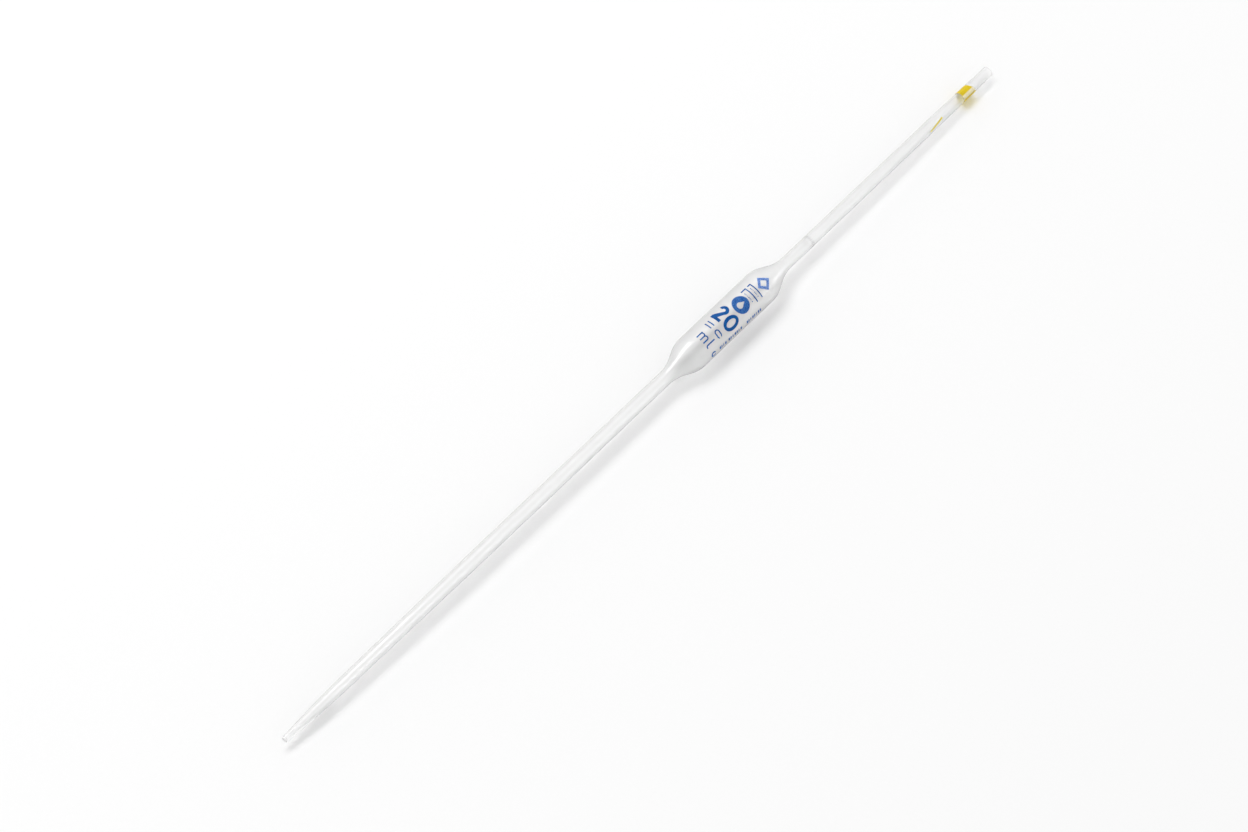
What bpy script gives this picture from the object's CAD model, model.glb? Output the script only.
import math

import bpy
import numpy as np
from mathutils import Matrix, Vector


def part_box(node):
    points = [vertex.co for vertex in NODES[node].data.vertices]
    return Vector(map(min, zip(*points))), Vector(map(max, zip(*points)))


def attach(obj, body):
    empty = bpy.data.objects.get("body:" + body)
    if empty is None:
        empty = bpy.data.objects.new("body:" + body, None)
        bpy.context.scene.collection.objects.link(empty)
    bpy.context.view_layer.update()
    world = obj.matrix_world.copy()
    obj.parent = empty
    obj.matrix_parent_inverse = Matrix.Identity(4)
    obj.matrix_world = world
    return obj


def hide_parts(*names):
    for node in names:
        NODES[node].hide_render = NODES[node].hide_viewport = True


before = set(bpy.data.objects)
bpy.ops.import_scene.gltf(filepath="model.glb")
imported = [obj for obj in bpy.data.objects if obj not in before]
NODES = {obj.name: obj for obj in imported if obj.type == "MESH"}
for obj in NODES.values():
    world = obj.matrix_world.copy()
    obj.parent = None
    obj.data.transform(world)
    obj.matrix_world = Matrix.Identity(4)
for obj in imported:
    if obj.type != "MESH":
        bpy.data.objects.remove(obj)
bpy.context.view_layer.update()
MM = 0.001

# ---- sizes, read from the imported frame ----

BULB_LO, BULB_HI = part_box("bulb")
STEM_LO, STEM_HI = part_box("delivery_tube")
JET_LO, JET_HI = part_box("jet")
TOP_LO, TOP_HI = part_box("suction_tube")
AXIS_Z = (BULB_LO.z + BULB_HI.z) / 2
X_JET, X_STEM, X_BULB, X_TOP, X_MOUTH = (
    JET_LO.x, JET_HI.x, STEM_HI.x, TOP_LO.x, TOP_HI.x)
R_BULB = (BULB_HI.z - BULB_LO.z) / 2
R_STEM = (STEM_HI.z - STEM_LO.z) / 2
R_JET_TOP = (JET_HI.z - JET_LO.z) / 2
R_TOP = (TOP_HI.z - TOP_LO.z) / 2

# Lengths that part.scad states and the boxes don't show.
TUBE_WALL = 0.85 * MM
BULB_WALL = 0.80 * MM
SHOULDER = 21 * MM
SHOULDER_ANGLE = math.radians(24.5)
NECK_SHARE = 0.58
X_STEM_FULL = X_JET + 125 * MM
R_JET = 1.575 * MM
R_ORIFICE = 0.45 * MM
JET_LAND = 2 * MM
X_NECK = X_JET + 476 * MM
X_SEAT = X_JET + 489 * MM
X_SEAT_END = X_JET + 501 * MM
X_LIP = X_JET + 503.5 * MM
R_SEAT = 3.05 * MM
R_LIP = 2.85 * MM
TIP_ROUND = 0.5 * MM
HOLE_ROUND = 0.12 * MM

AROUND = 128                # vertices round the glass
OUTER_RIPPLE = 0.0015 * MM  # unevenness of the outer and inner glass surfaces,
INNER_RIPPLE = 0.012 * MM   # which fades out over RIPPLE_FADE at both ends
RIPPLE_FADE = 12 * MM
CLEAR_FACE, SEAM_FACE, GROUND_FACE = 0, 1, 2


# ---- the glass, as one wall section cut into the four real pieces ----

def shoulder(x0, r0, r1, way):
    """Points of a shoulder rising from radius r0 at x0 to r1 one SHOULDER away."""
    a, rise = SHOULDER_ANGLE, r1 - r0
    radii = (SHOULDER - rise / math.tan(a)) / math.tan(a / 2)
    neck, crown = radii * NECK_SHARE, radii * (1 - NECK_SHARE)
    pts = []
    for i in range(17):
        t = a * i / 16
        pts.append((neck * math.sin(t), r0 + neck * (1 - math.cos(t))))
    for i in range(16, -1, -1):
        t = a * i / 16
        pts.append((SHOULDER - crown * math.sin(t), r1 - crown * (1 - math.cos(t))))
    return [(x0 + way * x, r) for x, r in pts]


def straight(x0, r0, x1, r1, step):
    """Points of a straight wall line, about step apart."""
    n = max(2, int(round(abs(x1 - x0) / step)))
    return [(x0 + (x1 - x0) * i / n, r0 + (r1 - r0) * i / n) for i in range(n + 1)]


def arc(cx, cr, r, t0, t1, n):
    """Points round a centre; 0 degrees points along +X and 90 away from the axis."""
    ts = [math.radians(t0 + (t1 - t0) * i / n) for i in range(n + 1)]
    return [(cx + r * math.cos(t), cr + r * math.sin(t)) for t in ts]


def eased(pts, x, reach):
    """Rounds the corner that a wall line has at x, as a worked tube has no creases."""
    a = max((p for p in pts if p[0] < x - reach), key=lambda p: p[0])
    b = min((p for p in pts if p[0] > x + reach), key=lambda p: p[0])
    corner = min(pts, key=lambda p: abs(p[0] - x))
    mid = []
    for i in range(1, 12):
        t = i / 12
        mid.append(tuple((1 - t) ** 2 * a[k] + 2 * t * (1 - t) * corner[k] + t * t * b[k]
                         for k in (0, 1)))
    return [p for p in pts if p[0] <= a[0]] + mid + [p for p in pts if p[0] >= b[0]]


def line(radius_off, r_bulb, r_tip, x_first, x_last, last_r):
    """The outer or inner wall line from the jet to the mouth, radii less radius_off."""
    o = radius_off
    pts = straight(x_first, r_tip, X_STEM, R_JET_TOP - o, 1.5 * MM)
    pts += straight(X_STEM, R_JET_TOP - o, X_STEM_FULL, R_STEM - o, 4 * MM)[1:]
    pts += straight(X_STEM_FULL, R_STEM - o, X_BULB, R_STEM - o, 4 * MM)[1:]
    pts += shoulder(X_BULB, R_STEM - o, r_bulb, 1)[1:]
    x_low, x_high = X_BULB + SHOULDER, X_TOP - SHOULDER
    pts += straight(x_low, r_bulb, x_high, r_bulb, 2 * MM)[1:]
    pts += shoulder(X_TOP, R_TOP - o, r_bulb, -1)[::-1][1:]
    pts += straight(X_TOP, R_TOP - o, X_NECK, R_TOP - o, 4 * MM)[1:]
    pts += straight(X_NECK, R_TOP - o, X_SEAT, R_SEAT - o, 1 * MM)[1:]
    pts += straight(X_SEAT, R_SEAT - o, X_SEAT_END, R_SEAT - o, 1 * MM)[1:]
    pts += straight(X_SEAT_END, R_SEAT - o, X_LIP, R_LIP - o, 0.25 * MM)[1:]
    pts += straight(X_LIP, R_LIP - o, x_last, last_r, 1 * MM)[1:]
    for x, reach in ((X_STEM, 6 * MM), (X_STEM_FULL, 14 * MM), (X_NECK, 4 * MM),
                     (X_SEAT, 3 * MM), (X_SEAT_END, 0.6 * MM), (X_LIP, 0.6 * MM)):
        pts = eased(pts, x, reach)
    return pts


rim = TUBE_WALL / 2
outer = line(0, R_BULB, R_JET, X_JET + TIP_ROUND, X_MOUTH - rim, R_LIP)
inner = line(TUBE_WALL, R_BULB - BULB_WALL, R_ORIFICE, X_JET + JET_LAND,
             X_MOUTH - rim, R_LIP - TUBE_WALL)
mouth_rim = arc(X_MOUTH - rim, R_LIP - rim, rim, 90, -90, 16)[1:-1]
bore = straight(X_JET + HOLE_ROUND, R_ORIFICE, X_JET + JET_LAND, R_ORIFICE, 0.4 * MM)[:-1]
tip_face = arc(X_JET + HOLE_ROUND, R_ORIFICE + HOLE_ROUND, HOLE_ROUND, 270, 180, 5)[1:]
tip_face += arc(X_JET + TIP_ROUND, R_JET - TIP_ROUND, TIP_ROUND, 180, 90, 10)[:-1]
loop = outer + mouth_rim + inner[::-1] + bore[::-1] + tip_face
TIP_ROW = len(loop) - len(tip_face)
is_outer = [True] * len(outer) + [False] * (len(loop) - len(outer))


def ripple(x, t, seed):
    """A slow unevenness, -1 to 1, of glass that was drawn and blown by hand."""
    w = np.zeros_like(t)
    for k, (fx, ft, ph) in enumerate(((31, 1, 0.4), (67, 2, 1.9), (113, 3, 4.1), (211, 1, 2.2))):
        w += np.sin(fx * x * 2 + ph + seed) * np.cos(ft * t + ph * 2 + seed * 1.7) / (k + 1.5)
    return w / 1.6


def grid():
    """Vertex places and normals: one row per loop point, AROUND columns."""
    t = np.linspace(0, 2 * math.pi, AROUND, endpoint=False)
    rows = []
    for (x, r), out in zip(loop, is_outer):
        edge = min(abs(x - X_JET), abs(x - X_MOUTH))
        fade = min(1.0, edge / RIPPLE_FADE)
        amount = (OUTER_RIPPLE if out else INNER_RIPPLE) * fade
        rr = r - amount * (1 + ripple(x, t, 0.0 if out else 3.0)) * (1 if out else -1)
        rows.append(np.stack([np.full(AROUND, x), rr * np.sin(t), AXIS_Z + rr * np.cos(t)], 1))
    g = np.array(rows)
    fwd = np.roll(g, -1, 0) - g
    back = g - np.roll(g, 1, 0)
    du = fwd / np.linalg.norm(fwd, axis=2, keepdims=True)
    du += back / np.linalg.norm(back, axis=2, keepdims=True)
    dv = np.roll(g, -1, 1) - np.roll(g, 1, 1)
    n = np.cross(du, dv)
    n /= np.linalg.norm(n, axis=2, keepdims=True)
    if n[len(outer) // 2, 0, 2] < 0:
        n = -n
    return g, n


GRID, NORMAL = grid()


def nearest(pts, x, start=0):
    """The row of the point nearest to x, where pts begins at row start."""
    return start + min(range(len(pts)), key=lambda i: abs(pts[i][0] - x))


OUT_AT = {x: nearest(outer, x) for x in (X_STEM, X_BULB, X_TOP)}
IN_START = len(outer) + len(mouth_rim)
IN_AT = {x: nearest(inner[::-1], x, IN_START) for x in (X_STEM, X_BULB, X_TOP)}


def glass_piece(name, strips, seams, node, mats):
    """One closed piece: strips are runs of loop rows, seams the flat ends that meet
    the next piece of glass. mats are the clear, seam and ground surfaces."""
    verts, norms, index = [], [], {}

    def vert(row, col):
        row %= len(loop)
        key = (row, col % AROUND)
        if key not in index:
            index[key] = len(verts)
            verts.append(GRID[key])
            norms.append(NORMAL[key])
        return index[key]

    faces, corner_normals, kinds = [], [], []
    for run in strips:
        for a, b in zip(run[:-1], run[1:]):
            for c in range(AROUND):
                f = [vert(a, c), vert(b, c), vert(b, c + 1), vert(a, c + 1)]
                faces.append(f)
                corner_normals += [norms[i] for i in f]
                kinds.append(GROUND_FACE if a >= TIP_ROW else CLEAR_FACE)
    for row_out, row_in, sign in seams:
        for c in range(AROUND):
            f = [vert(row_out, c), vert(row_in, c), vert(row_in, c + 1), vert(row_out, c + 1)]
            faces.append(f if sign > 0 else f[::-1])
            corner_normals += [np.array((sign, 0.0, 0.0))] * 4
            kinds.append(SEAM_FACE)
    mesh = bpy.data.meshes.new(name)
    mesh.from_pydata([tuple(v) for v in verts], [], faces)
    obj = bpy.data.objects.new(name, mesh)
    bpy.context.scene.collection.objects.link(obj)
    for m in mats:
        mesh.materials.append(m)
    mesh.polygons.foreach_set("material_index", kinds)
    mesh.polygons.foreach_set("use_smooth", [True] * len(faces))
    mesh.update()
    facing = sum(p.normal.dot(Vector(corner_normals[p.loop_start])) for p in mesh.polygons
                 if p.material_index != SEAM_FACE)
    if facing < 0:
        raise RuntimeError(name + " is inside out")
    mesh.normals_split_custom_set([tuple(n) for n in corner_normals])
    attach(obj, "root")
    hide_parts(node)
    return obj


# ---- materials ----

GLASS_IOR = 1.473           # borosilicate glass
HAZE_SHARE = 0.42           # the hazed share of a glass surface, and its roughness
HAZE_ROUGHNESS = 0.29
ENAMEL_SPECULAR = 0.12
WORN_COLOUR = (1.0, 0.92, 0.69, 1)
GLASS_SIDE_COLOUR = (1.0, 0.98, 0.88, 1)


def material(name):
    m = bpy.data.materials.new(name)
    m.use_nodes = True
    nt = m.node_tree
    nt.nodes.clear()
    out = nt.nodes.new("ShaderNodeOutputMaterial")
    return m, nt, out


def add(nt, kind, **values):
    n = nt.nodes.new(kind)
    for k, v in values.items():
        if k in n.inputs:
            n.inputs[k].default_value = v
        else:
            setattr(n, k, v)
    return n


def noise(nt, scale, detail, rough, stretch=(1, 1, 1)):
    """Noise in object space, per metre, so its grain has a real size."""
    co = add(nt, "ShaderNodeTexCoord")
    mp = add(nt, "ShaderNodeMapping")
    mp.inputs["Scale"].default_value = stretch
    tex = add(nt, "ShaderNodeTexNoise")
    tex.inputs["Scale"].default_value = scale
    tex.inputs["Detail"].default_value = detail
    tex.inputs["Roughness"].default_value = rough
    nt.links.new(co.outputs["Object"], mp.inputs["Vector"])
    nt.links.new(mp.outputs["Vector"], tex.inputs["Vector"])
    return tex


def ramp(nt, src, stops):
    r = add(nt, "ShaderNodeValToRGB")
    el = r.color_ramp.elements
    while len(el) < len(stops):
        el.new(0.5)
    for e, (pos, col) in zip(el, stops):
        e.position = pos
        e.color = tuple(col) + (1,) if len(col) == 3 else col
    nt.links.new(src, r.inputs["Fac"])
    return r


def spread(nt, src, low, high):
    m = add(nt, "ShaderNodeMapRange")
    m.inputs["To Min"].default_value = low
    m.inputs["To Max"].default_value = high
    nt.links.new(src, m.inputs["Value"])
    return m


def bump_map(nt, height, strength, distance):
    """The normal of a surface that height makes uneven by up to distance."""
    bump = add(nt, "ShaderNodeBump")
    bump.inputs["Strength"].default_value = strength
    bump.inputs["Distance"].default_value = distance
    nt.links.new(height, bump.inputs["Height"])
    return bump.outputs["Normal"]


def glass_shader(nt, tint, roughness):
    bsdf = add(nt, "ShaderNodeBsdfPrincipled")
    bsdf.inputs["Base Color"].default_value = (tint, tint, tint, 1)
    bsdf.inputs["IOR"].default_value = GLASS_IOR
    bsdf.inputs["Transmission Weight"].default_value = 1.0
    bsdf.inputs["Roughness"].default_value = roughness
    return bsdf


def passes_light(nt, surface, out, colour):
    """Lets lamps shine through a surface, dimmed by colour, so that it casts a pale
    shadow as a thin wall does."""
    clear = add(nt, "ShaderNodeBsdfTransparent")
    clear.inputs["Color"].default_value = colour
    path = add(nt, "ShaderNodeLightPath")
    mix = add(nt, "ShaderNodeMixShader")
    nt.links.new(path.outputs["Is Shadow Ray"], mix.inputs["Fac"])
    nt.links.new(surface, mix.inputs[1])
    nt.links.new(clear.outputs["BSDF"], mix.inputs[2])
    nt.links.new(mix.outputs["Shader"], out.inputs["Surface"])


def glass_material(name, tint, shadow):
    """Clear glass with a light haze, faint draw lines and a slow unevenness of polish.
    shadow is the share of a lamp's light that each of its surfaces lets through."""
    m, nt, out = material(name)
    clean = glass_shader(nt, tint, 0.0)
    hazy = glass_shader(nt, tint, HAZE_ROUGHNESS)
    film = noise(nt, 260, 4, 0.6, (0.25, 1, 1))
    rough = spread(nt, film.outputs["Fac"], 0.0, 0.05)
    nt.links.new(rough.outputs["Result"], clean.inputs["Roughness"])
    draw = noise(nt, 420, 2, 0.5, (0.06, 1, 1))
    normal = bump_map(nt, draw.outputs["Fac"], 0.02, 0.0001)
    both = add(nt, "ShaderNodeMixShader")
    both.inputs["Fac"].default_value = HAZE_SHARE
    for i, bsdf in enumerate((clean, hazy)):
        nt.links.new(normal, bsdf.inputs["Normal"])
        nt.links.new(bsdf.outputs["BSDF"], both.inputs[i + 1])
    passes_light(nt, both.outputs["Shader"], out, (shadow, shadow, shadow, 1))
    return m


def ground_material():
    """The jet's end is ground flat: a fine white matt over clear glass."""
    m, nt, out = material("ground_glass")
    bsdf = glass_shader(nt, 0.95, 0.5)
    bsdf.inputs["Transmission Weight"].default_value = 0.45
    grit = noise(nt, 9000, 3, 0.6)
    rough = spread(nt, grit.outputs["Fac"], 0.4, 0.7)
    nt.links.new(rough.outputs["Result"], bsdf.inputs["Roughness"])
    nt.links.new(bump_map(nt, grit.outputs["Fac"], 0.3, 0.00002), bsdf.inputs["Normal"])
    passes_light(nt, bsdf.outputs["BSDF"], out, (0.5, 0.5, 0.5, 1))
    return m


def seam_material():
    """The melted joints between the glass pieces, where nothing shows."""
    m, nt, out = material("melted_seam")
    clear = add(nt, "ShaderNodeBsdfTransparent")
    nt.links.new(clear.outputs["BSDF"], out.inputs["Surface"])
    return m


def outward(nt):
    """The direction away from the pipette's axis."""
    co = add(nt, "ShaderNodeTexCoord")
    centred = add(nt, "ShaderNodeMapping")
    centred.inputs["Location"].default_value = (0, 0, -AXIS_Z)
    centred.inputs["Scale"].default_value = (0, 1, 1)
    away = add(nt, "ShaderNodeVectorMath", operation="NORMALIZE")
    nt.links.new(co.outputs["Object"], centred.inputs["Vector"])
    nt.links.new(centred.outputs["Vector"], away.inputs[0])
    return away.outputs["Vector"]


def glass_side(nt):
    """1 on the side of an enamel piece that lies on the glass, 0 on its outer side."""
    shape = add(nt, "ShaderNodeNewGeometry")
    along = add(nt, "ShaderNodeVectorMath", operation="DOT_PRODUCT")
    nt.links.new(outward(nt), along.inputs[0])
    nt.links.new(shape.outputs["True Normal"], along.inputs[1])
    inner = add(nt, "ShaderNodeMapRange")
    inner.inputs["From Min"].default_value = -0.1
    inner.inputs["From Max"].default_value = -0.5
    nt.links.new(along.outputs["Value"], inner.inputs["Value"])
    return inner.outputs["Result"]


def worn_line(nt, turn, half_width):
    """1 along a line on the tube, turn degrees from the top towards +Y, 0 elsewhere."""
    facing = add(nt, "ShaderNodeVectorMath", operation="DOT_PRODUCT")
    facing.inputs[1].default_value = (0, math.sin(math.radians(turn)), math.cos(math.radians(turn)))
    nt.links.new(outward(nt), facing.inputs[0])
    near = add(nt, "ShaderNodeMapRange")
    near.inputs["From Min"].default_value = math.cos(math.radians(half_width * 1.25))
    near.inputs["From Max"].default_value = math.cos(math.radians(half_width * 0.75))
    nt.links.new(facing.outputs["Value"], near.inputs["Value"])
    return near.outputs["Result"]


def enamel(name, deep, pale, low, high, grain=2600, patchy=0.5, glow=0.0, worn=None):
    """Fired enamel: a little uneven in depth, with pinholes and a soft gloss. glow is
    the share of it that is a clear stain, which light shines through, and worn is the
    turn and half width in degrees of a line along which it has worn thin."""
    m, nt, out = material(name)
    bsdf = add(nt, "ShaderNodeBsdfPrincipled")
    fine = noise(nt, grain, 5, 0.65)
    broad = noise(nt, 420, 3, 0.5)
    mixed = add(nt, "ShaderNodeMath", operation="MULTIPLY_ADD")
    nt.links.new(fine.outputs["Fac"], mixed.inputs[0])
    mixed.inputs[1].default_value = patchy
    scaled = add(nt, "ShaderNodeMath", operation="MULTIPLY")
    nt.links.new(broad.outputs["Fac"], scaled.inputs[0])
    scaled.inputs[1].default_value = 1 - patchy
    nt.links.new(scaled.outputs["Value"], mixed.inputs[2])
    col = ramp(nt, mixed.outputs["Value"], [(0.40, deep), (0.58, pale)])
    shown = col.outputs["Color"]
    if worn:
        for mask, pale_colour in ((worn_line(nt, *worn), WORN_COLOUR),
                                  (glass_side(nt), GLASS_SIDE_COLOUR)):
            thin = add(nt, "ShaderNodeMix", data_type="RGBA")
            nt.links.new(mask, thin.inputs["Factor"])
            nt.links.new(shown, thin.inputs["A"])
            thin.inputs["B"].default_value = pale_colour
            shown = thin.outputs["Result"]
    nt.links.new(shown, bsdf.inputs["Base Color"])
    rough = spread(nt, fine.outputs["Fac"], low, high)
    nt.links.new(rough.outputs["Result"], bsdf.inputs["Roughness"])
    nt.links.new(bump_map(nt, fine.outputs["Fac"], 0.25, 0.00003), bsdf.inputs["Normal"])
    bsdf.inputs["Specular IOR Level"].default_value = ENAMEL_SPECULAR
    if glow:
        bsdf.inputs["Transmission Weight"].default_value = glow
        passes_light(nt, bsdf.outputs["BSDF"], out, [c ** 0.1 for c in pale] + [1])
    else:
        nt.links.new(bsdf.outputs["BSDF"], out.inputs["Surface"])
    return m


def stain(name, dark, light, middle, half_width, most):
    """A thin clouded stain round the tube, densest along its middle line."""
    m, nt, out = material(name)
    bsdf = add(nt, "ShaderNodeBsdfPrincipled")
    cloud = noise(nt, 900, 4, 0.6)
    col = ramp(nt, cloud.outputs["Fac"], [(0.35, dark), (0.65, light)])
    nt.links.new(col.outputs["Color"], bsdf.inputs["Base Color"])
    rough = spread(nt, cloud.outputs["Fac"], 0.4, 0.65)
    nt.links.new(rough.outputs["Result"], bsdf.inputs["Roughness"])
    nt.links.new(bump_map(nt, cloud.outputs["Fac"], 0.2, 0.00002), bsdf.inputs["Normal"])
    co = add(nt, "ShaderNodeTexCoord")
    place = add(nt, "ShaderNodeSeparateXYZ")
    nt.links.new(co.outputs["Object"], place.inputs["Vector"])
    off = add(nt, "ShaderNodeMath", operation="SUBTRACT")
    nt.links.new(place.outputs["X"], off.inputs[0])
    off.inputs[1].default_value = middle
    far = add(nt, "ShaderNodeMath", operation="ABSOLUTE")
    nt.links.new(off.outputs["Value"], far.inputs[0])
    dense = add(nt, "ShaderNodeMapRange")
    dense.inputs["From Max"].default_value = half_width
    dense.inputs["To Min"].default_value = most
    dense.inputs["To Max"].default_value = most * 0.15
    nt.links.new(far.outputs["Value"], dense.inputs["Value"])
    clear = add(nt, "ShaderNodeBsdfTransparent")
    mix = add(nt, "ShaderNodeMixShader")
    nt.links.new(dense.outputs["Result"], mix.inputs["Fac"])
    nt.links.new(clear.outputs["BSDF"], mix.inputs[1])
    nt.links.new(bsdf.outputs["BSDF"], mix.inputs[2])
    nt.links.new(mix.outputs["Shader"], out.inputs["Surface"])
    return m


RING_LO, RING_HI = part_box("graduation_ring")
BULB_GLASS = glass_material("thin_clear_glass", 0.992, 0.62)
SUCTION_GLASS = glass_material("suction_clear_glass", 0.99, 0.66)
STEM_GLASS = glass_material("delivery_clear_glass", 0.99, 0.62)
JET_GLASS = glass_material("thick_clear_glass", 0.98, 0.50)
SEAM = seam_material()
GROUND = ground_material()
BLUE = enamel("blue_enamel", (0.001, 0.055, 0.24), (0.006, 0.10, 0.35), 0.35, 0.6)
PALE = enamel("pale_blue_enamel", (0.06, 0.15, 0.46), (0.22, 0.34, 0.68), 0.3, 0.55, patchy=0.8)
EMBLEM = enamel("emblem_enamel", (0.004, 0.062, 0.28), (0.055, 0.17, 0.46), 0.35, 0.6, patchy=0.85)
YELLOW = enamel("yellow_enamel", (0.78, 0.62, 0.02), (0.86, 0.72, 0.05), 0.2, 0.4, glow=0.3)
BAND = enamel("band_enamel", (0.75, 0.565, 0.004), (0.82, 0.64, 0.010), 0.2, 0.4, glow=0.45,
              worn=(-51, 20))
GREY = stain("grey_stain", (0.20, 0.20, 0.20), (0.32, 0.32, 0.32), (RING_LO.x + RING_HI.x) / 2,
             (RING_HI.x - RING_LO.x) / 2, 0.13)

# ---- the glass pieces ----

glass_piece("jet_glass",
            [list(range(IN_AT[X_STEM], len(loop))) + list(range(0, OUT_AT[X_STEM] + 1))],
            [(OUT_AT[X_STEM], IN_AT[X_STEM], 1)], "jet", [JET_GLASS, SEAM, GROUND])
glass_piece("delivery_tube_glass",
            [list(range(OUT_AT[X_STEM], OUT_AT[X_BULB] + 1)),
             list(range(IN_AT[X_BULB], IN_AT[X_STEM] + 1))],
            [(OUT_AT[X_STEM], IN_AT[X_STEM], -1), (OUT_AT[X_BULB], IN_AT[X_BULB], 1)],
            "delivery_tube", [STEM_GLASS, SEAM])
glass_piece("bulb_glass",
            [list(range(OUT_AT[X_BULB], OUT_AT[X_TOP] + 1)),
             list(range(IN_AT[X_TOP], IN_AT[X_BULB] + 1))],
            [(OUT_AT[X_BULB], IN_AT[X_BULB], -1), (OUT_AT[X_TOP], IN_AT[X_TOP], 1)],
            "bulb", [BULB_GLASS, SEAM])
glass_piece("suction_tube_glass", [list(range(OUT_AT[X_TOP], IN_AT[X_TOP] + 1))],
            [(OUT_AT[X_TOP], IN_AT[X_TOP], -1)], "suction_tube", [SUCTION_GLASS, SEAM])

# ---- the enamel pieces keep their CAD shapes ----

FINISH = {"colour_band": BAND, "colour_stroke": YELLOW, "graduation_ring": GREY,
          "maker_lozenge": PALE, "round_emblem": EMBLEM}
for name, obj in NODES.items():
    if name in ("suction_tube", "bulb", "delivery_tube", "jet"):
        continue
    obj.data.materials.clear()
    obj.data.materials.append(FINISH.get(name, BLUE))

# ---- floor ----

def floor_material():
    """A plain, almost white matt sheet."""
    m, nt, out = material("pale_floor")
    bsdf = add(nt, "ShaderNodeBsdfPrincipled")
    fine = noise(nt, 900, 4, 0.6)
    col = ramp(nt, fine.outputs["Fac"], [(0.3, (0.872,) * 3), (0.7, (0.882,) * 3)])
    nt.links.new(col.outputs["Color"], bsdf.inputs["Base Color"])
    bsdf.inputs["Roughness"].default_value = 0.75
    bsdf.inputs["Specular IOR Level"].default_value = 0.1
    nt.links.new(bsdf.outputs["BSDF"], out.inputs["Surface"])
    return m


RISE_AT_JET = 3.9 * MM
RISE_AT_MOUTH = 4.6 * MM
FLOOR_HALF = 4.0
DISH_HALF, DISH_STATIONS = 0.3, 241


def floor_height(x):
    """The soft sheet under the pipette gives under the bulb and comes up towards both
    ends, without touching the tubes."""
    if x < X_BULB + SHOULDER:
        share = min(1.0, (X_BULB + SHOULDER - x) / (X_BULB + SHOULDER - X_JET))
        return RISE_AT_JET * share ** 2.6
    share = min(1.0, max(0.0, (x - X_TOP + SHOULDER) / (X_MOUTH - X_TOP + SHOULDER)))
    return RISE_AT_MOUTH * share ** 1.2


stations = [-FLOOR_HALF, *np.linspace(-DISH_HALF, DISH_HALF, DISH_STATIONS), FLOOR_HALF]
verts, faces = [], []
for x in stations:
    verts += [(x, -FLOOR_HALF, floor_height(x)), (x, FLOOR_HALF, floor_height(x))]
for i in range(len(stations) - 1):
    faces.append((2 * i, 2 * i + 2, 2 * i + 3, 2 * i + 1))
mesh = bpy.data.meshes.new("floor")
mesh.from_pydata(verts, [], faces)
mesh.polygons.foreach_set("use_smooth", [True] * len(faces))
floor = bpy.data.objects.new("floor", mesh)
mesh.materials.append(floor_material())
bpy.context.scene.collection.objects.link(floor)

# ---- light ----

def sky(stops, strength):
    """An even studio sky, graded from the horizon at 0 to straight up at 1."""
    world = bpy.data.worlds.new("studio")
    bpy.context.scene.world = world
    world.use_nodes = True
    wt = world.node_tree
    wt.nodes.clear()
    out = wt.nodes.new("ShaderNodeOutputWorld")
    bg = wt.nodes.new("ShaderNodeBackground")
    co = wt.nodes.new("ShaderNodeTexCoord")
    sep = wt.nodes.new("ShaderNodeSeparateXYZ")
    wt.links.new(co.outputs["Generated"], sep.inputs["Vector"])
    shade = ramp(wt, sep.outputs["Z"], stops)
    wt.links.new(shade.outputs["Color"], bg.inputs["Color"])
    bg.inputs["Strength"].default_value = strength
    wt.links.new(bg.outputs["Background"], out.inputs["Surface"])


def softbox(name, place, width, depth, radiance):
    """A rectangular lamp that faces the pipette, its width along X."""
    lamp = bpy.data.lights.new(name, "AREA")
    lamp.shape = "RECTANGLE"
    lamp.size, lamp.size_y = width, depth
    lamp.energy = math.pi * radiance * width * depth
    obj = bpy.data.objects.new(name, lamp)
    away = Vector(place).normalized()
    across = Vector((1, 0, 0))
    up = away.cross(across).normalized()
    across = up.cross(away)
    obj.matrix_world = Matrix((across, up, away)).transposed().to_4x4()
    obj.location = place
    bpy.context.scene.collection.objects.link(obj)


sky([(0.0, (0.90,) * 3), (0.25, (0.80,) * 3), (1.0, (0.60,) * 3)], 0.998)
softbox("soft_key", (-0.1, 2.1, 4.0), 3.4, 1.7, 5.7)
softbox("strip_light", (2.1, 1.5, 4.3), 1.2, 1.0, 2.4)

# ---- camera ----

def camera(azimuth, elevation, distance, target, lens):
    """A camera that looks at target, azimuth degrees round from the -Y side."""
    a, e = math.radians(azimuth), math.radians(elevation)
    back = Vector((math.sin(a) * math.cos(e), -math.cos(a) * math.cos(e), math.sin(e)))
    data = bpy.data.cameras.new("camera")
    data.lens = lens
    data.sensor_width = 36
    data.clip_start, data.clip_end = 0.01, 50
    cam = bpy.data.objects.new("camera", data)
    cam.location = Vector(target) + back * distance
    cam.rotation_mode = "QUATERNION"
    cam.rotation_quaternion = back.to_track_quat("Z", "Y")
    bpy.context.scene.collection.objects.link(cam)
    bpy.context.scene.camera = cam
    return cam


camera(-49.583, 54.0, 1.6398, (-0.02138, 0.00463, 0.0), 100)
bpy.context.scene.view_settings.view_transform = "Standard"
